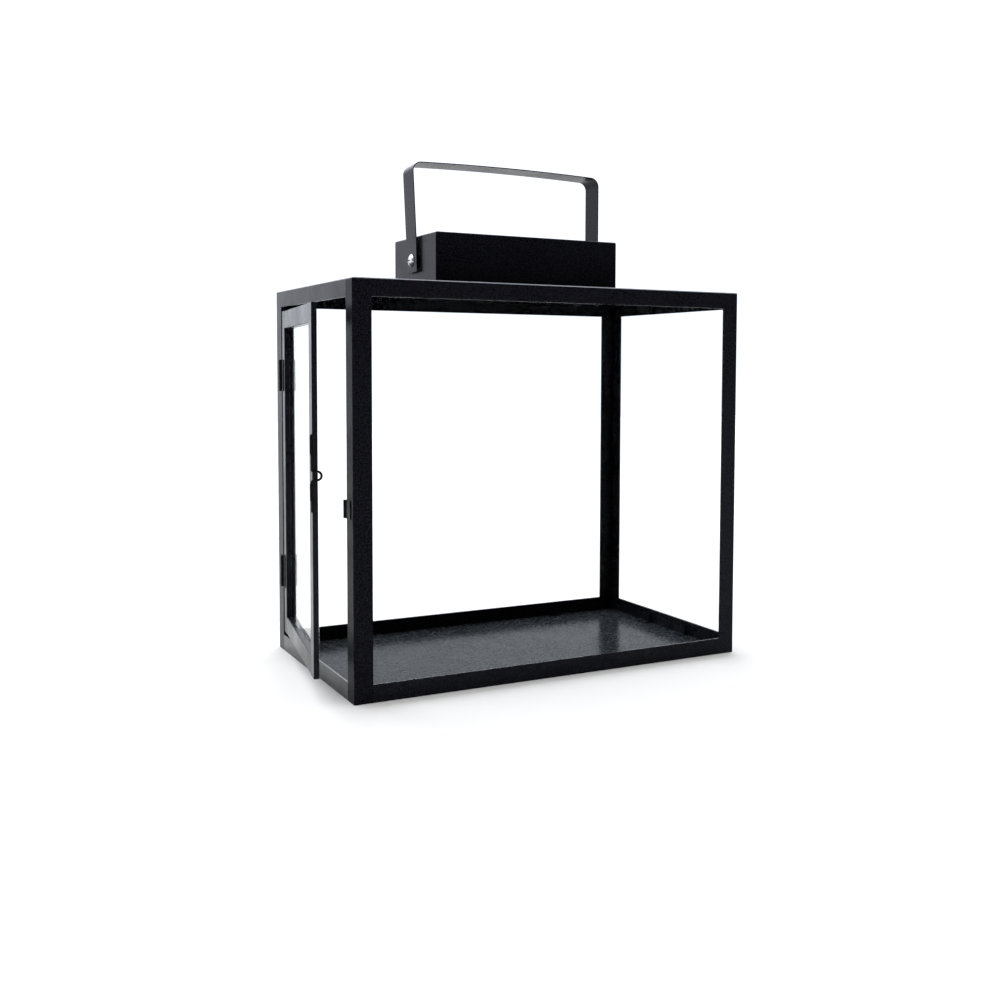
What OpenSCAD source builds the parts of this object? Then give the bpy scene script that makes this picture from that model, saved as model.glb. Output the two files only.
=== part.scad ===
// Rectangular metal candle lantern with a glazed side door, a chimney box and a folding strap handle.
// Millimetres. +X along the long side, -Y is the front, +Z up, origin at the middle of the underside.
// The door is in the -X end and hangs on the back post.
// It is drawn ajar, and the handle leans back a little.

/* [Body] */
// Length of the body
body_w = 354; // [260:1:500]
// Depth of the body
body_d = 206; // [190:1:300]
// Height of the body, without the chimney
body_h = 320; // [290:1:450]
// Width of each leg of the corner posts
post_leg = 15; // [12:0.5:20]
// Height of the top and bottom rails
rail_h = 14; // [10:0.5:18]
// Thickness of the posts and rails
sheet_t = 1.5; // [1:0.1:2]
// Thickness of the roof plate
roof_t = 1.5; // [1.3:0.1:2.5]
// Thickness of the floor plate
floor_t = 1.2; // [0.8:0.1:2]
// Thickness of the glass panes
glass_t = 2; // [1.5:0.1:3]

/* [Chimney] */
// Length of the chimney box
chimney_w = 172.4; // [140:0.2:200]
// Depth of the chimney box
chimney_d = 93.2; // [70:0.2:120]
// Height of the chimney box
chimney_h = 44.2; // [40:0.1:60]
// Thickness of the chimney sheet
chimney_t = 1.2; // [0.8:0.1:2]
// Number of vent holes in the top of the chimney
vent_count = 7; // [3:1:7]
// Radius of a vent hole
vent_r = 4; // [2:0.5:6]

/* [Handle] */
// Width of the handle strap
strap_w = 22; // [16:1:28]
// Thickness of the handle strap
strap_t = 0.8; // [0.8:0.1:2.5]
// Height of the handle's pivot above the roof
pivot_h = 23.6; // [20:0.1:28]
// Height of the top of the handle above its pivot
handle_h = 83.6; // [60:0.2:110]
// Outward lean of the handle's legs, in degrees
handle_splay = 1.6; // [0.5:0.1:4]
// Backward lean of the handle as drawn, in degrees
handle_tilt = 2.6; // [0:0.1:10]

/* [Door] */
// How far the door stands open as drawn, in degrees
door_open = 8.4; // [0:0.1:60]
// Face width of the door's frame members
member_w = 15; // [11:0.5:18]
// Depth of the door's frame members
member_d = 4.1; // [3:0.1:6]
// Gap between the door and the rails
door_gap_z = 4.2; // [2:0.1:6]

/* [Hinges] */
// Height of a hinge
hinge_h = 27; // [20:1:40]
// Middle of the lower hinge above the underside
hinge_low = 71.7; // [50:0.1:110]
// Middle of the upper hinge above the underside
hinge_high = 245.6; // [200:0.1:265]

/* [Latch] */
// Radius of the latch wire
wire_r = 0.9; // [0.7:0.05:1.1]
// Middle height of the latch wire's finger loop
loop_z = 172.5; // [160:0.5:180]

/* [Hidden] */
$fn = 48;
over = 1;               // how far a cutter runs past the face it cuts

black = "#1c1c20";
floor_grey = "#3c4044";
zinc = "#c8c8cc";
clear = [0.85, 0.92, 0.92, 0.3];

// Body frame
half_w = body_w / 2;
half_d = body_d / 2;
frame_h = body_h - roof_t;
fold_r = 1.2;           // outside radius of every folded frame edge
flange_w = 12;          // width of the top rails' flange under the roof
span_x = body_w - 2 * post_leg;
span_y = body_d - 2 * post_leg;
jig_hole_r = 1.2;
jig_hole_z = 7.4;

// Vent through the roof, under the chimney
throat_w = 146;
throat_d = 66;
throat_r = 4;

// Chimney box
chimney_r = 1.4;        // outside radius of the chimney's folds
chimney_lip = 8;        // width of the lip that is welded to the roof
vent_pitch = 19;

// Glazing
seat_gap = 0.1;         // between a pane and the frame it bears on
pane_gap = 0.2;         // at a pane's edges
pane_z0 = floor_t + pane_gap;
pane_z1 = frame_h - sheet_t - pane_gap;
pane_in_x = half_w - sheet_t - seat_gap - glass_t;
pane_in_y = half_d - sheet_t - seat_gap - glass_t;
clip_w = 10;
clip_t = 0.8;
clip_h = 9;
clip_foot = 6;
clip_x = 105;           // how far the front and back clips are from the middle
clip_y = 30;            // how far the clips of the right pane and the door are from the middle

// Handle and its pivots
pivot_z = body_h + pivot_h;
washer_t = 1.8;         // thickness of the spacing washer between the strap and the chimney
turn_gap = 0.3;         // clearance on each side of the turning strap
strap_in = chimney_w / 2 + washer_t + turn_gap;
strap_out = strap_in + strap_t;
strap_tail = 10;        // how far the strap runs below its pivot
strap_knee = 14;        // height above the pivot where the legs begin to lean out
bar_rise = 1.6;         // how far the middle of the handle's bar stands above its ends
bend_steps = 16;        // facets of an upper bend
bar_steps = 12;         // facets of half of the bar
bend_r = 8;             // outside radius of the handle's upper bends
screw_r = 2.5;
screw_len = 10;
screw_head_r = 5.5;
screw_head_h = 2.4;
screw_hole_r = 2.55;
recess_w = 1.1;
recess_len = 5.6;
recess_depth = 1.5;
nut_flats = 8;
nut_h = 4;
washer_r = 5.5;

// Door, given as it stands when closed
post_edge = half_d - post_leg;          // edge of a left post's end leg
door_recess = 0.2;
face_x = -half_w + door_recess;         // plane of the door's outer face
hinge_off = 1.25;                       // hinge axis from the post's edge and from its face
axis_x = -half_w - hinge_off;
axis_y = post_edge - hinge_off;
door_y1 = post_edge - 2 * hinge_off;
free_gap = 3.8;
door_y0 = -post_edge + free_gap;
door_z0 = rail_h + door_gap_z;
door_z1 = body_h - rail_h - door_gap_z;
door_w = door_y1 - door_y0;
door_h = door_z1 - door_z0;
member_r = 0.8;
pane_lap = 3;           // how far the door's pane reaches over its frame members
clip_lap = 2.5;         // how far a door clip reaches over the pane

// Hinges
leaf_t = 0.7;
leaf_w = 9.5;
knuckle_r = 1.5;
hinge_pin_r = 0.8;
hinge_bore_r = 0.85;
knuckle_gap = 0.3;
knuckle_len = (hinge_h - 2 * knuckle_gap) / 3;
leaf_relief = 0.35;     // clearance between a leaf and the other leaf's knuckles
pin_head_r = 1.2;
pin_head_h = 0.6;

// Latch, on an axis in the gap between the door's free edge and the front post
latch_x = -half_w - 0.5;
latch_y = -post_edge + 1.8;
sleeve_r = 1.5;
sleeve_bore_r = 1;
keeper_r = 1.6;
keeper_bore_r = 1.15;
tab_t = 0.7;
sleeve_tab_w = 10;
keeper_tab_w = 10.8;
upper_sleeve_z = [188.5, 202.7];
lower_sleeve_z = [153.9, 167];
keeper_z = [139.8, 153.6];
wire_z = [145.9, 202.9];                // centres of the wire's rounded ends
loop_r = 3.25;                          // centre-line radius of the finger loop
loop_reach = 4;                         // from the latch axis to the loop's centre
wire_bend_r = 1.6;

// ---------------------------------------------------------------- shared shapes

// L section with its rounded outer corner at the origin and its legs along +X and +Y
module angle_section(a, b) {
    difference() {
        union() {
            translate([fold_r, 0]) square([a - fold_r, b]);
            translate([0, fold_r]) square([a, b - fold_r]);
            translate([fold_r, fold_r]) circle(fold_r);
        }
        translate([sheet_t, sheet_t]) square([a, b]);
    }
}

// Block with rounded vertical and upper edges, standing on z = 0
module rounded_block(x, y, z, r) {
    cx = x / 2 - r;
    cy = y / 2 - r;
    translate([-cx, -cy, 0]) cube([2 * cx, 2 * cy, z]);
    translate([-x / 2, -cy, 0]) cube([x, 2 * cy, z - r]);
    translate([-cx, -y / 2, 0]) cube([2 * cx, y, z - r]);
    for (sx = [-1, 1]) {
        translate([sx * cx, 0, z - r]) rotate([90, 0, 0]) cylinder(r = r, h = 2 * cy, center = true);
        for (sy = [-1, 1]) {
            translate([sx * cx, sy * cy, 0]) cylinder(r = r, h = z - r);
            translate([sx * cx, sy * cy, z - r]) sphere(r);
        }
    }
    for (sy = [-1, 1]) {
        translate([0, sy * cy, z - r]) rotate([0, 90, 0]) cylinder(r = r, h = 2 * cx, center = true);
    }
}

// Rectangle with rounded corners, centred
module rounded_rect(x, y, r) {
    square([x - 2 * r, y], center = true);
    square([x, y - 2 * r], center = true);
    for (sx = [-1, 1], sy = [-1, 1]) {
        translate([sx * (x / 2 - r), sy * (y / 2 - r)]) circle(r);
    }
}

// Puts a child, drawn as it is when the door is closed, where the door stands
module at_door() {
    translate([axis_x, axis_y, 0]) rotate([0, 0, -door_open]) translate([-axis_x, -axis_y, 0]) children();
}

// Repeats a child that faces -X at the handle's left pivot, and mirrored at the right one
module at_pivots() {
    for (side = [0, 1]) {
        mirror([side, 0, 0]) translate([0, 0, pivot_z]) children();
    }
}

// ---------------------------------------------------------------- body frame

// Corner post, full height, with its outer corner at the body's left front corner
module post() {
    color(black) translate([-half_w, -half_d, 0])
        linear_extrude(frame_h) angle_section(post_leg, post_leg);
}

// The front left post has a small jig hole near its foot
module post_front_left() {
    color(black) difference() {
        post();
        translate([-half_w, -post_edge - 1.8, jig_hole_z]) rotate([0, 90, 0])
            cylinder(r = jig_hole_r, h = 2 * sheet_t + over, center = true);
    }
}

module post_front_right() {
    mirror([1, 0, 0]) post();
}

module post_back_left() {
    mirror([0, 1, 0]) post();
}

module post_back_right() {
    mirror([1, 0, 0]) mirror([0, 1, 0]) post();
}

// Flat strip that stands on edge along X, with its outer face on y = 0
module bottom_rail(length) {
    color(black) translate([-length / 2, 0, 0]) cube([length, sheet_t, rail_h]);
}

module bottom_rail_front() {
    translate([0, -half_d, 0]) bottom_rail(span_x);
}

module bottom_rail_back() {
    mirror([0, 1, 0]) bottom_rail_front();
}

module bottom_rail_right() {
    translate([half_w, 0, 0]) rotate([0, 0, 90]) bottom_rail(span_y);
}

module bottom_rail_left() {
    mirror([1, 0, 0]) bottom_rail_right();
}

// Angle along X with its outer face on y = 0 and its flange under the roof plate
module top_rail(length) {
    color(black) translate([-length / 2, 0, frame_h]) rotate([0, 90, 0]) linear_extrude(length) {
        square([rail_h - roof_t, sheet_t]);
        square([sheet_t, flange_w]);
    }
}

module top_rail_front() {
    translate([0, -half_d, 0]) top_rail(span_x);
}

module top_rail_back() {
    mirror([0, 1, 0]) top_rail_front();
}

module top_rail_right() {
    translate([half_w, 0, 0]) rotate([0, 0, 90]) top_rail(span_y);
}

module top_rail_left() {
    mirror([1, 0, 0]) top_rail_right();
}

// Floor plate, let in flush with the underside of the frame
module floor_plate() {
    color(floor_grey) translate([0, 0, floor_t / 2])
        cube([body_w - 2 * sheet_t, body_d - 2 * sheet_t, floor_t], center = true);
}

// Roof plate over the whole frame, with rounded upper edges and the vent throat
module roof_plate() {
    depth = 2 * fold_r;
    color(black) translate([0, 0, frame_h]) difference() {
        translate([0, 0, roof_t - depth]) rounded_block(body_w, body_d, depth, fold_r);
        translate([0, 0, -depth]) linear_extrude(depth)
            square([body_w + over, body_d + over], center = true);
        translate([0, 0, -over]) linear_extrude(roof_t + 2 * over)
            rounded_rect(throat_w, throat_d, throat_r);
    }
}

// Folded chimney box with a welding lip, vent holes and holes for the handle's screws
module chimney() {
    inner_w = chimney_w - 2 * chimney_t;
    inner_d = chimney_d - 2 * chimney_t;
    color(black) translate([0, 0, body_h]) difference() {
        rounded_block(chimney_w, chimney_d, chimney_h, chimney_r);
        translate([0, 0, chimney_t])
            rounded_block(inner_w, inner_d, chimney_h - 2 * chimney_t, chimney_r - chimney_t);
        translate([0, 0, -over]) linear_extrude(chimney_t + 2 * over)
            rounded_rect(inner_w - 2 * chimney_lip, inner_d - 2 * chimney_lip, throat_r);
        translate([0, 0, pivot_h]) rotate([0, 90, 0])
            cylinder(r = screw_hole_r, h = chimney_w + 2 * over, center = true);
        for (i = [0 : vent_count - 1]) {
            translate([(i - (vent_count - 1) / 2) * vent_pitch, 0, chimney_h - chimney_t - over])
                cylinder(r = vent_r, h = chimney_t + 2 * over);
        }
    }
}

// ---------------------------------------------------------------- glazing

module glass_front() {
    length = 2 * (half_w - sheet_t - pane_gap);
    color(clear) translate([-length / 2, -pane_in_y - glass_t, pane_z0])
        cube([length, glass_t, pane_z1 - pane_z0]);
}

module glass_back() {
    mirror([0, 1, 0]) glass_front();
}

module glass_right() {
    length = 2 * (pane_in_y - pane_gap);
    color(clear) translate([pane_in_x, -length / 2, pane_z0]) cube([glass_t, length, pane_z1 - pane_z0]);
}

// Bent tab whose upright bears on a pane's inner face at y = 0 and whose foot lies on z = 0
module glass_clip() {
    translate([-clip_w / 2, 0, 0]) cube([clip_w, clip_foot, clip_t]);
    translate([-clip_w / 2, 0, 0]) cube([clip_w, clip_t, clip_h]);
}

// Clips at both ends of the bottom and of the top of a pane whose inner face is on y = 0
module clip_set(reach) {
    color(black) for (x = [-reach, reach]) {
        translate([x, 0, floor_t]) glass_clip();
        translate([x, 0, frame_h - sheet_t]) mirror([0, 0, 1]) glass_clip();
    }
}

module clips_front() {
    translate([0, -pane_in_y + seat_gap, 0]) clip_set(clip_x);
}

module clips_back() {
    mirror([0, 1, 0]) clips_front();
}

module clips_right() {
    translate([pane_in_x - seat_gap, 0, 0]) rotate([0, 0, 90]) clip_set(clip_y);
}

// ---------------------------------------------------------------- door

// Bar section with its rounded outer face on x = 0, from y = 0 to the member's width
module member_section() {
    translate([member_r, 0]) square([member_d - member_r, member_w]);
    translate([0, member_r]) square([member_d, member_w - 2 * member_r]);
    for (y = [member_r, member_w - member_r]) {
        translate([member_r, y]) circle(member_r);
    }
}

module door_stile(y) {
    color(black) at_door() translate([face_x, y, door_z0]) linear_extrude(door_h) member_section();
}

module door_stile_free() {
    door_stile(door_y0);
}

module door_stile_hinge() {
    door_stile(door_y1 - member_w);
}

// Bar between the stiles, with its underside at height z
module door_rail(z) {
    color(black) at_door() translate([face_x, door_y1 - member_w, z]) rotate([90, 0, 0])
        linear_extrude(door_w - 2 * member_w) member_section();
}

module door_rail_bottom() {
    door_rail(door_z0);
}

module door_rail_top() {
    door_rail(door_z1 - member_w);
}

// Pane that lies on the inner side of the door's members
module door_glass() {
    inset = member_w - pane_lap;
    color(clear) at_door()
        translate([face_x + member_d + seat_gap, door_y0 + inset, door_z0 + inset])
            cube([glass_t, door_w - 2 * inset, door_h - 2 * inset]);
}

// Stepped tab on a rail's inner face at x = 0, that reaches up over the pane's lower edge at z = 0
module door_clip() {
    lift = glass_t + 2 * seat_gap;
    foot_top = -pane_gap;
    translate([0, -clip_w / 2, -clip_foot]) cube([clip_t, clip_w, clip_foot + foot_top]);
    translate([0, -clip_w / 2, foot_top - clip_t]) cube([lift + clip_t, clip_w, clip_t]);
    translate([lift, -clip_w / 2, foot_top - clip_t]) cube([clip_t, clip_w, clip_t + clip_lap - foot_top]);
}

module clips_door() {
    back_x = face_x + member_d;
    mid_y = (door_y0 + door_y1) / 2;
    inset = member_w - pane_lap;
    color(black) at_door() for (side = [-1, 1]) {
        translate([back_x, mid_y + side * clip_y, door_z0 + inset]) door_clip();
        translate([back_x, mid_y + side * clip_y, door_z1 - inset]) mirror([0, 0, 1]) door_clip();
    }
}

// ---------------------------------------------------------------- hinges

function knuckle_z(i) = i * (knuckle_len + knuckle_gap);

// Knuckles with the given numbers, counted from the bottom of the hinge
module knuckles(numbers) {
    for (i = numbers) {
        translate([0, 0, knuckle_z(i)]) cylinder(r = knuckle_r, h = knuckle_len);
    }
}

module hinge_bore() {
    translate([0, 0, -over]) cylinder(r = hinge_bore_r, h = hinge_h + 2 * over);
}

// Leaf on the post: plate on the post's face, with the two outer knuckles
module post_leaf(mid_z) {
    color(black) translate([axis_x, axis_y, mid_z - hinge_h / 2]) difference() {
        union() {
            knuckles([0, 2]);
            translate([hinge_off - leaf_t, knuckle_r + leaf_relief, 0])
                cube([leaf_t, leaf_w - knuckle_r - leaf_relief, hinge_h]);
            for (i = [0, 2]) {
                translate([hinge_off - leaf_t, 0, knuckle_z(i)]) cube([leaf_t, leaf_w, knuckle_len]);
            }
        }
        hinge_bore();
    }
}

// Leaf on the door: plate on the hinge stile, with the middle knuckle and a joggle that reaches it
module door_leaf(mid_z) {
    plate_x = hinge_off + door_recess - leaf_t;
    color(black) at_door() translate([axis_x, axis_y, mid_z - hinge_h / 2]) difference() {
        union() {
            knuckles([1]);
            translate([plate_x, -leaf_w, 0]) cube([leaf_t, leaf_w - knuckle_r - leaf_relief, hinge_h]);
            translate([hinge_bore_r, -knuckle_r - leaf_t, knuckle_z(1)])
                cube([plate_x + leaf_t - hinge_bore_r, knuckle_r + leaf_t, knuckle_len]);
        }
        hinge_bore();
    }
}

module hinge_pin(mid_z) {
    color(black) translate([axis_x, axis_y, mid_z - hinge_h / 2]) {
        cylinder(r = hinge_pin_r, h = hinge_h + pin_head_h);
        translate([0, 0, hinge_h]) cylinder(r = pin_head_r, h = pin_head_h);
    }
}

module hinge_lower_post_leaf() {
    post_leaf(hinge_low);
}

module hinge_upper_post_leaf() {
    post_leaf(hinge_high);
}

module hinge_lower_door_leaf() {
    door_leaf(hinge_low);
}

module hinge_upper_door_leaf() {
    door_leaf(hinge_high);
}

module hinge_lower_pin() {
    hinge_pin(hinge_low);
}

module hinge_upper_pin() {
    hinge_pin(hinge_high);
}

// ---------------------------------------------------------------- latch

// Rolled sleeve on the latch axis, with a tab on the door's outer face
module latch_sleeve(z) {
    height = z[1] - z[0];
    color(black) at_door() translate([latch_x, latch_y, z[0]]) difference() {
        union() {
            cylinder(r = sleeve_r, h = height);
            translate([face_x - latch_x - tab_t, 0, 0]) cube([tab_t, sleeve_tab_w, height]);
        }
        translate([0, 0, -over]) cylinder(r = sleeve_bore_r, h = height + 2 * over);
    }
}

module latch_sleeve_upper() {
    latch_sleeve(upper_sleeve_z);
}

module latch_sleeve_lower() {
    latch_sleeve(lower_sleeve_z);
}

// Keeper on the front post, in line with the sleeves when the door is closed
module latch_keeper() {
    height = keeper_z[1] - keeper_z[0];
    color(black) translate([latch_x, latch_y, keeper_z[0]]) difference() {
        union() {
            cylinder(r = keeper_r, h = height);
            translate([-half_w - latch_x - tab_t, -keeper_tab_w, 0])
                cube([tab_t, keeper_tab_w, height]);
        }
        translate([0, 0, -over]) cylinder(r = keeper_bore_r, h = height + 2 * over);
    }
}

// Arc of wire in the X-Z plane about the origin, from angle a0 over a given sweep, seen from -Y
module wire_arc(radius, a0, sweep) {
    rotate([90, 0, 0]) rotate([0, 0, a0])
        rotate_extrude(angle = sweep) translate([radius, 0]) circle(wire_r);
}

// Half of the wire above the loop's middle: a straight stretch, a bend, and half of the finger loop
module wire_half(end_z) {
    straight_z = loop_r + wire_bend_r;
    translate([0, 0, straight_z]) cylinder(r = wire_r, h = end_z - straight_z);
    translate([0, 0, end_z]) sphere(wire_r);
    translate([wire_bend_r, 0, straight_z]) wire_arc(wire_bend_r, 180, 90);
    translate([wire_bend_r, 0, loop_r]) rotate([0, 90, 0])
        cylinder(r = wire_r, h = loop_reach - wire_bend_r);
    translate([loop_reach, 0, 0]) wire_arc(loop_r, 0, 90);
}

module latch_wire() {
    color(black) at_door() translate([latch_x, latch_y, loop_z]) {
        wire_half(wire_z[1] - loop_z);
        mirror([0, 0, 1]) wire_half(loop_z - wire_z[0]);
    }
}

// ---------------------------------------------------------------- handle

function arc(centre, radius, a0, a1, steps) =
    [for (i = [0 : steps]) let(a = a0 + (a1 - a0) * i / steps) centre + radius * [cos(a), sin(a)]];

// Region inside the line that is inset from the strap's outer line, seen from the front.
// Each leg runs into a bend, and the bend into a bar that is bowed upwards a little.
module strap_region(inset, tail) {
    slope = tan(handle_splay);
    bow_r = (pow(strap_out, 2) + pow(bar_rise, 2)) / (2 * bar_rise);
    bow_z = handle_h - bow_r;
    reach = bow_r - bend_r;
    foot = strap_out - bend_r / cos(handle_splay) + (bow_z - strap_knee) * slope;
    root = sqrt(pow(foot * slope, 2) - (1 + slope * slope) * (foot * foot - reach * reach));
    rise = (root - foot * slope) / (1 + slope * slope);
    centre = [foot + rise * slope, bow_z + rise];
    side = strap_out - inset;
    bend = arc(centre, bend_r - inset, -handle_splay, atan2(rise, centre[0]), bend_steps);
    bow = arc([0, bow_z], bow_r - inset, atan2(rise, centre[0]), 90, bar_steps);
    half = concat(
        [[side, -tail], [side, bend[0][1] - (bend[0][0] - side) / slope]],
        bend,
        [for (i = [1 : bar_steps - 1]) bow[i]]
    );
    count = len(half);
    mirrored = [for (i = [1 : count]) [-half[count - i][0], half[count - i][1]]];
    polygon(concat(half, [bow[bar_steps]], mirrored));
}

module handle_strap() {
    color(black) translate([0, 0, pivot_z]) rotate([-handle_tilt, 0, 0]) difference() {
        rotate([90, 0, 0]) linear_extrude(strap_w, center = true) difference() {
            strap_region(0, strap_tail);
            strap_region(strap_t, strap_tail + over);
        }
        rotate([0, 90, 0]) cylinder(r = screw_hole_r, h = 2 * strap_out + 2 * over, center = true);
    }
}

// Domed head with a cross recess, and a plain shank through strap, washer, chimney wall and nut
module pivot_screws() {
    head_x = -strap_out - turn_gap;
    dome_r = (pow(screw_head_r, 2) + pow(screw_head_h, 2)) / (2 * screw_head_h);
    color(zinc) at_pivots() translate([head_x, 0, 0]) rotate([0, 90, 0]) {
        cylinder(r = screw_r, h = screw_len);
        difference() {
            intersection() {
                translate([0, 0, dome_r - screw_head_h]) sphere(dome_r);
                translate([0, 0, -screw_head_h]) cylinder(r = screw_head_r + over, h = screw_head_h);
            }
            for (turn = [0, 90]) {
                rotate([0, 0, turn]) translate([0, 0, -screw_head_h])
                    cube([recess_len, recess_w, 2 * recess_depth], center = true);
            }
        }
    }
}

module pivot_washers() {
    color(zinc) at_pivots() translate([-chimney_w / 2 - washer_t, 0, 0]) rotate([0, 90, 0]) difference() {
        cylinder(r = washer_r, h = washer_t);
        translate([0, 0, -over]) cylinder(r = screw_hole_r, h = washer_t + 2 * over);
    }
}

module pivot_nuts() {
    color(zinc) at_pivots() translate([-chimney_w / 2 + chimney_t, 0, 0]) rotate([0, 90, 0]) difference() {
        cylinder(d = nut_flats / cos(30), h = nut_h, $fn = 6);
        translate([0, 0, -over]) cylinder(r = screw_r, h = nut_h + 2 * over);
    }
}

// ---------------------------------------------------------------- drawing

floor_plate();
roof_plate();
chimney();
post_front_left();
post_front_right();
post_back_left();
post_back_right();
bottom_rail_front();
bottom_rail_back();
bottom_rail_left();
bottom_rail_right();
top_rail_front();
top_rail_back();
top_rail_left();
top_rail_right();
glass_front();
glass_back();
glass_right();
clips_front();
clips_back();
clips_right();
hinge_lower_post_leaf();
hinge_lower_pin();
hinge_upper_post_leaf();
hinge_upper_pin();
latch_keeper();
pivot_screws();
pivot_washers();
pivot_nuts();
door_stile_hinge();
door_stile_free();
door_rail_top();
door_rail_bottom();
door_glass();
clips_door();
hinge_lower_door_leaf();
hinge_upper_door_leaf();
latch_sleeve_upper();
latch_sleeve_lower();
latch_wire();
handle_strap();
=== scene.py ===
"""Looks for the candle lantern: materials, softened edges, studio and camera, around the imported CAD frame."""

import math

import bpy
from mathutils import Matrix, Vector

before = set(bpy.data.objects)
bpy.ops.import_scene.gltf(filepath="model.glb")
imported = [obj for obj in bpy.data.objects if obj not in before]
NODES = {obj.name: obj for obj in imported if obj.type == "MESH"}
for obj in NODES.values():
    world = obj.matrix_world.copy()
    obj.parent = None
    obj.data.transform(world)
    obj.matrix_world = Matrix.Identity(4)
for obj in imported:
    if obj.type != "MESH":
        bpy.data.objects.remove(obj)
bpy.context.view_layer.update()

# ---------------------------------------------------------------- camera
# The camera looks at the body from its front left, a little above mid-height.
CAM_PLACE = Vector((-0.4540, -0.9113, 0.2547))
CAM_YAW = math.radians(28.278)
CAM_PITCH = math.radians(3.405)
CAM_ROLL = math.radians(0.242)
CAM_LENS = 41.123
SENSOR = 36.0
SHIFT_X = -0.0409
SHIFT_Y = -0.0656
CLIP_NEAR = 0.01
CLIP_FAR = 50


def add_camera():
    data = bpy.data.cameras.new("photo_camera")
    data.sensor_width = SENSOR
    data.lens = CAM_LENS
    data.shift_x = SHIFT_X
    data.shift_y = SHIFT_Y
    data.clip_start = CLIP_NEAR
    data.clip_end = CLIP_FAR
    camera = bpy.data.objects.new("photo_camera", data)
    bpy.context.scene.collection.objects.link(camera)
    look = Matrix.Rotation(-CAM_YAW, 4, "Z") @ Matrix.Rotation(math.pi / 2 - CAM_PITCH, 4, "X")
    roll = Matrix.Rotation(CAM_ROLL, 4, "Z")
    camera.matrix_world = Matrix.Translation(CAM_PLACE) @ look @ roll
    bpy.context.scene.camera = camera


add_camera()

# ---------------------------------------------------------------- node helpers
# Most of a noise's values lie between these two.
NOISE_LOW = 0.3
NOISE_HIGH = 0.7


def new_material(name):
    material = bpy.data.materials.new(name)
    material.use_nodes = True
    tree = material.node_tree
    return material, tree, tree.nodes["Principled BSDF"]


def link(tree, source, target):
    tree.links.new(source, target)


def coords(tree, kind):
    return tree.nodes.new("ShaderNodeTexCoord").outputs[kind]


def opaque(colour):
    return (*colour, 1.0)


def noise(tree, vector, size, detail=2.0, roughness=0.5):
    """Noise whose blotches are about size metres across."""
    node = tree.nodes.new("ShaderNodeTexNoise")
    node.inputs["Scale"].default_value = 1.0 / size
    node.inputs["Detail"].default_value = detail
    node.inputs["Roughness"].default_value = roughness
    link(tree, vector, node.inputs["Vector"])
    return node.outputs["Fac"]


def ramp(tree, value, stops):
    node = tree.nodes.new("ShaderNodeValToRGB")
    elements = node.color_ramp.elements
    while len(elements) < len(stops):
        elements.new(0.5)
    for element, (place, colour) in zip(elements, stops):
        element.position = place
        element.color = opaque(colour)
    link(tree, value, node.inputs["Fac"])
    return node.outputs["Color"]


def remap(tree, value, low, high, from_low=NOISE_LOW, from_high=NOISE_HIGH):
    node = tree.nodes.new("ShaderNodeMapRange")
    node.inputs["From Min"].default_value = from_low
    node.inputs["From Max"].default_value = from_high
    node.inputs["To Min"].default_value = low
    node.inputs["To Max"].default_value = high
    link(tree, value, node.inputs["Value"])
    return node.outputs["Result"]


def bump(tree, height, distance, before=None):
    """Bump whose full height is distance metres. before is the normal of a coarser bump under it."""
    node = tree.nodes.new("ShaderNodeBump")
    node.inputs["Strength"].default_value = 1.0
    node.inputs["Distance"].default_value = distance
    link(tree, height, node.inputs["Height"])
    if before is not None:
        link(tree, before, node.inputs["Normal"])
    return node.outputs["Normal"]


# ---------------------------------------------------------------- powder coat
BLACK = (0.0, 0.0, 0.0)
WHITE = (1.0, 1.0, 1.0)

GRAIN_SIZE = 0.0012
GRAIN_HEIGHT = 0.00006
PEEL_SIZE = 0.004
PEEL_HEIGHT = 0.00004
CLOUD_SIZE = 0.03
DARKEST_GRAIN = 0.32
LIGHTEST_GRAIN = 0.68
SPECULAR_TINT = (0.82, 0.86, 1.0)
# Painted highlight: the pale colour laid on rounded upper edges in place of light caught from above.
EDGE_HIGHLIGHT_COLOUR = (0.36, 0.38, 0.42)
# Places on the ramp are the Z of the surface's normal: the painted highlight lies on a rounded upper edge,
# between wall and top.
EDGE_HIGHLIGHT_RAMP = [(0.25, BLACK), (0.5, WHITE), (0.93, WHITE), (0.98, BLACK)]


def paint_edge_highlight(tree, paint):
    """Painted highlight: paint made pale along rounded upper edges, where light from above would catch them."""
    normal = tree.nodes.new("ShaderNodeSeparateXYZ")
    link(tree, coords(tree, "Normal"), normal.inputs["Vector"])
    mix = tree.nodes.new("ShaderNodeMix")
    mix.data_type = "RGBA"
    link(tree, ramp(tree, normal.outputs["Z"], EDGE_HIGHLIGHT_RAMP), mix.inputs["Factor"])
    link(tree, paint, mix.inputs["A"])
    mix.inputs["B"].default_value = opaque(EDGE_HIGHLIGHT_COLOUR)
    return mix.outputs["Result"]


def powder_coat(name, colours, roughness, specular, grain=GRAIN_SIZE, highlight_edges=False):
    """Fine-textured powder coat: orange peel a few millimetres across, with a finer grain over it."""
    material, tree, shader = new_material(name)
    vector = coords(tree, "Object")
    dark, light = colours
    speckle = noise(tree, vector, grain, detail=1.0, roughness=0.6)
    paint = ramp(tree, speckle, [(DARKEST_GRAIN, dark), (LIGHTEST_GRAIN, light)])
    # Painted highlight along rounded upper edges.
    if highlight_edges:
        paint = paint_edge_highlight(tree, paint)
    link(tree, paint, shader.inputs["Base Color"])
    clouds = noise(tree, vector, CLOUD_SIZE, detail=3.0)
    link(tree, remap(tree, clouds, *roughness), shader.inputs["Roughness"])
    peel = bump(tree, noise(tree, vector, PEEL_SIZE, detail=1.0), PEEL_HEIGHT)
    link(tree, bump(tree, speckle, GRAIN_HEIGHT, peel), shader.inputs["Normal"])
    shader.inputs["Specular IOR Level"].default_value = specular
    shader.inputs["Specular Tint"].default_value = opaque(SPECULAR_TINT)
    return material


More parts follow.
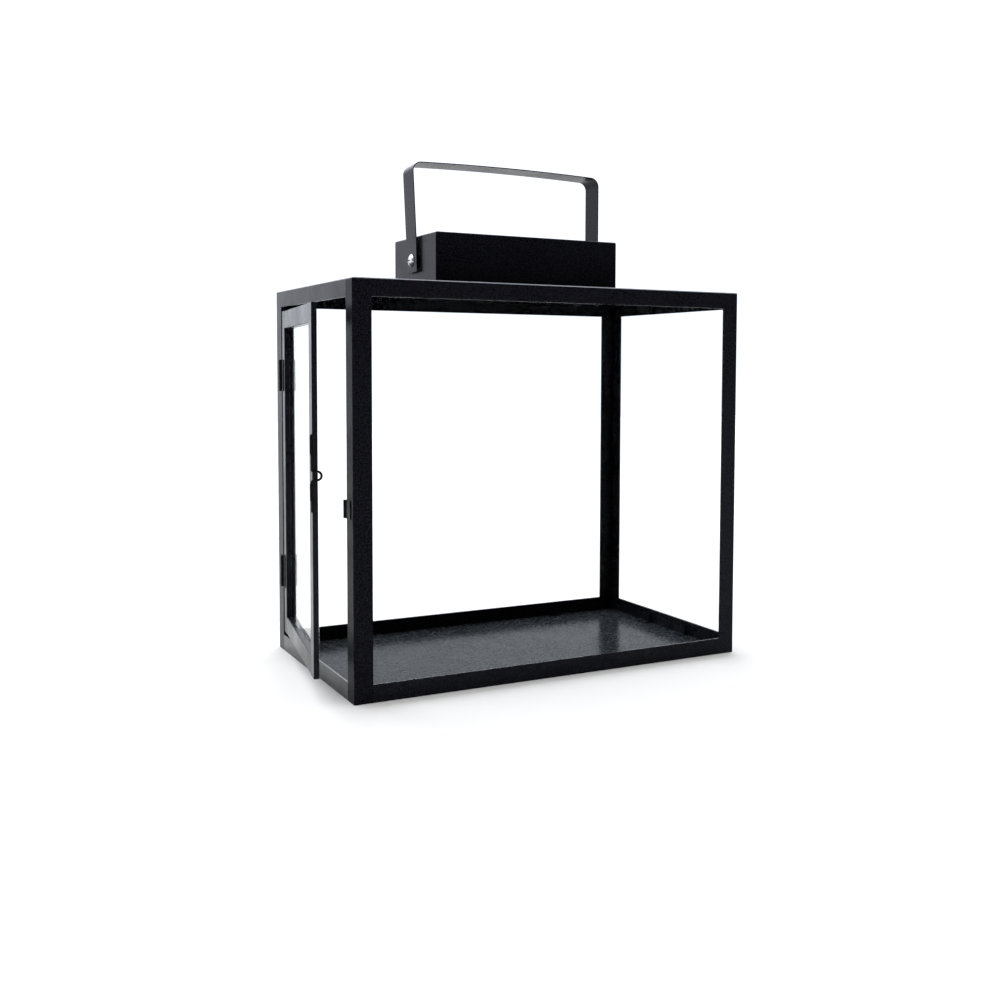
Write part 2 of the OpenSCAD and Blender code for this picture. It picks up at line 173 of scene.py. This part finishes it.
# Frame, door and roof are one black powder coat on the real lantern. Their gloss differs here only to
# bring the tone of each face near the real one under this plain studio light.
FRAME_COLOURS = ((0.0004, 0.0004, 0.0012), (0.0125, 0.0125, 0.0175))
FRAME_PAINT = powder_coat("frame_paint", FRAME_COLOURS, roughness=(0.22, 0.32), specular=0.075)
POST_PAINT = powder_coat("post_paint", FRAME_COLOURS, roughness=(0.30, 0.40), specular=0.035)
RAIL_PAINT = powder_coat("low_rail_paint", FRAME_COLOURS, roughness=(0.20, 0.30), specular=0.35)
DOOR_PAINT = powder_coat("door_paint", FRAME_COLOURS, roughness=(0.22, 0.32), specular=0.10)
# The roof plate carries a painted highlight along its rounded upper edges.
ROOF_PAINT = powder_coat("roof_paint", FRAME_COLOURS, roughness=(0.26, 0.36), specular=0.10, highlight_edges=True)

FLOOR_COLOURS = ((0.002, 0.003, 0.004), (0.046, 0.051, 0.056))
FLOOR_PAINT = powder_coat("floor_paint", FLOOR_COLOURS, roughness=(0.14, 0.24), specular=0.018, grain=0.0024)

HARDWARE_COLOURS = ((0.0008, 0.0008, 0.0015), (0.004, 0.004, 0.006))
HARDWARE_PAINT = powder_coat("hardware_paint", HARDWARE_COLOURS, roughness=(0.34, 0.46), specular=0.1)
WIRE_PAINT = powder_coat("wire_paint", HARDWARE_COLOURS, roughness=(0.28, 0.4), specular=0.12)

# ---------------------------------------------------------------- glass
CLEAR_TINT = (0.985, 0.992, 0.990)
SMEAR_SIZE = 0.05
GLASS_ROUGHNESS = (0.01, 0.06)
FACING_BLEND = 0.5
GRAZING_POWER = 5.0


def clear_glass(name, grazing_mirror):
    """Clear pane: light goes straight through, apart from a mirror that grows to grazing_mirror edge-on."""
    material, tree, shader = new_material(name)
    nodes = tree.nodes
    nodes.remove(shader)
    clear = nodes.new("ShaderNodeBsdfTransparent")
    clear.inputs["Color"].default_value = opaque(CLEAR_TINT)
    gloss = nodes.new("ShaderNodeBsdfGlossy")
    gloss.inputs["Color"].default_value = opaque(WHITE)
    smear = noise(tree, coords(tree, "Object"), SMEAR_SIZE, detail=4.0, roughness=0.6)
    link(tree, remap(tree, smear, *GLASS_ROUGHNESS), gloss.inputs["Roughness"])
    facing = nodes.new("ShaderNodeLayerWeight")
    facing.inputs["Blend"].default_value = FACING_BLEND
    grazing = nodes.new("ShaderNodeMath")
    grazing.operation = "POWER"
    grazing.inputs[1].default_value = GRAZING_POWER
    link(tree, facing.outputs["Facing"], grazing.inputs[0])
    mix = nodes.new("ShaderNodeMixShader")
    mirrored = remap(tree, grazing.outputs["Value"], 0.0, grazing_mirror, from_low=0.0, from_high=1.0)
    link(tree, mirrored, mix.inputs["Fac"])
    link(tree, clear.outputs["BSDF"], mix.inputs[1])
    link(tree, gloss.outputs["BSDF"], mix.inputs[2])
    link(tree, mix.outputs["Shader"], nodes["Material Output"].inputs["Surface"])
    return material


GLASS = clear_glass("pane_glass", grazing_mirror=0.25)
DOOR_GLASS = clear_glass("door_pane_glass", grazing_mirror=1.0)

# ---------------------------------------------------------------- zinc
STAIN_SIZE = 0.002
STAINED_ZINC = (0.62, 0.63, 0.66)
BRIGHT_ZINC = (0.86, 0.86, 0.88)
ZINC_ROUGHNESS = (0.18, 0.34)
SCRATCH_SIZE = 0.0004
SCRATCH_HEIGHT = 0.000008


def zinc_plate(name):
    """Bright zinc plate with a fine uneven surface and small stains."""
    material, tree, shader = new_material(name)
    vector = coords(tree, "Object")
    stain = noise(tree, vector, STAIN_SIZE, detail=3.0)
    tint = ramp(tree, stain, [(NOISE_LOW, STAINED_ZINC), (NOISE_HIGH, BRIGHT_ZINC)])
    link(tree, tint, shader.inputs["Base Color"])
    link(tree, remap(tree, stain, *ZINC_ROUGHNESS), shader.inputs["Roughness"])
    shader.inputs["Metallic"].default_value = 1.0
    scratches = noise(tree, vector, SCRATCH_SIZE, detail=1.0)
    link(tree, bump(tree, scratches, SCRATCH_HEIGHT), shader.inputs["Normal"])
    return material


ZINC = zinc_plate("zinc_plate")

# ---------------------------------------------------------------- material and edges of each node
# The first start of a name that fits decides.
MATERIALS = [
    ("door_glass", DOOR_GLASS),
    ("glass_", GLASS),
    ("pivot_washers", HARDWARE_PAINT),
    ("pivot_", ZINC),
    ("floor_plate", FLOOR_PAINT),
    ("roof_plate", ROOF_PAINT),
    ("post_front_left", POST_PAINT),
    ("bottom_rail_left", RAIL_PAINT),
    ("door_", DOOR_PAINT),
    ("latch_wire", WIRE_PAINT),
    ("hinge_", HARDWARE_PAINT),
    ("latch_", HARDWARE_PAINT),
]

SMOOTH_ANGLE = math.radians(28)
EDGE_ANGLE = math.radians(40)
EDGE_SEGMENTS = 2
SMALL_EDGE = 0.00012
PAINTED_EDGE = 0.00028


def node_material(name):
    for start, material in MATERIALS:
        if name.startswith(start):
            return material
    return FRAME_PAINT


def edge_width(name):
    if "glass" in name or name == "latch_wire":
        return 0.0
    if name.startswith(("hinge_", "latch_", "pivot_")):
        return SMALL_EDGE
    return PAINTED_EDGE


def soften(obj, width):
    """Shades curved faces smooth, and breaks the sharp edges of the metal as paint does."""
    mesh = obj.data
    mesh.shade_smooth()
    mesh.set_sharp_from_angle(angle=SMOOTH_ANGLE)
    if width > 0:
        bevel = obj.modifiers.new("broken_edges", "BEVEL")
        bevel.width = width
        bevel.segments = EDGE_SEGMENTS
        bevel.limit_method = "ANGLE"
        bevel.angle_limit = EDGE_ANGLE
        bevel.use_clamp_overlap = True
        bevel.harden_normals = True


for name, obj in NODES.items():
    obj.data.materials.clear()
    obj.data.materials.append(node_material(name))
    soften(obj, edge_width(name))

# ---------------------------------------------------------------- studio
FLOOR_REACH = 4.0
FLOOR_COLOUR = (0.94, 0.925, 0.905)
FLOOR_ROUGHNESS = 0.9

BACKDROP_WHITE = 1.22
FRONT_LIGHT = 0.10
BACK_LIGHT = 1.6
# The light grows from front to back between these two places on the sky's Y.
LIGHT_STARTS = -0.2
LIGHT_FULL = 0.5
SKY_TINT = (0.91, 0.95, 1.03)

OVERHEAD_DIRECTION = (0.0, -0.3, -1.0)
OVERHEAD_SPREAD = math.radians(110)
OVERHEAD_STRENGTH = 2.6


def add_floor():
    mesh = bpy.data.meshes.new("studio_floor")
    half = FLOOR_REACH
    corners = [(-half, -half, 0), (half, -half, 0), (half, half, 0), (-half, half, 0)]
    mesh.from_pydata(corners, [], [(0, 1, 2, 3)])
    floor = bpy.data.objects.new("studio_floor", mesh)
    bpy.context.scene.collection.objects.link(floor)
    material, tree, shader = new_material("studio_floor")
    shader.inputs["Base Color"].default_value = opaque(FLOOR_COLOUR)
    shader.inputs["Roughness"].default_value = FLOOR_ROUGHNESS
    mesh.materials.append(material)


def add_soft_sun(name, direction, spread, strength):
    data = bpy.data.lights.new(name, "SUN")
    data.angle = spread
    data.energy = strength
    light = bpy.data.objects.new(name, data)
    bpy.context.scene.collection.objects.link(light)
    light.rotation_euler = Vector(direction).to_track_quat("-Z", "Y").to_euler()


def add_world():
    """A sky that lights the object most from behind, and that is plain white where it is seen directly."""
    world = bpy.data.worlds.new("studio")
    world.use_nodes = True
    tree = world.node_tree
    split = tree.nodes.new("ShaderNodeSeparateXYZ")
    link(tree, coords(tree, "Generated"), split.inputs["Vector"])
    light = remap(tree, split.outputs["Y"], FRONT_LIGHT, BACK_LIGHT, LIGHT_STARTS, LIGHT_FULL)
    seen = tree.nodes.new("ShaderNodeMix")
    seen.inputs["B"].default_value = BACKDROP_WHITE
    link(tree, tree.nodes.new("ShaderNodeLightPath").outputs["Is Camera Ray"], seen.inputs["Factor"])
    link(tree, light, seen.inputs["A"])
    background = tree.nodes["Background"]
    background.inputs["Color"].default_value = opaque(SKY_TINT)
    link(tree, seen.outputs["Result"], background.inputs["Strength"])
    bpy.context.scene.world = world


add_floor()
add_world()
add_soft_sun("overhead", OVERHEAD_DIRECTION, OVERHEAD_SPREAD, OVERHEAD_STRENGTH)
bpy.context.scene.view_settings.view_transform = "Standard"
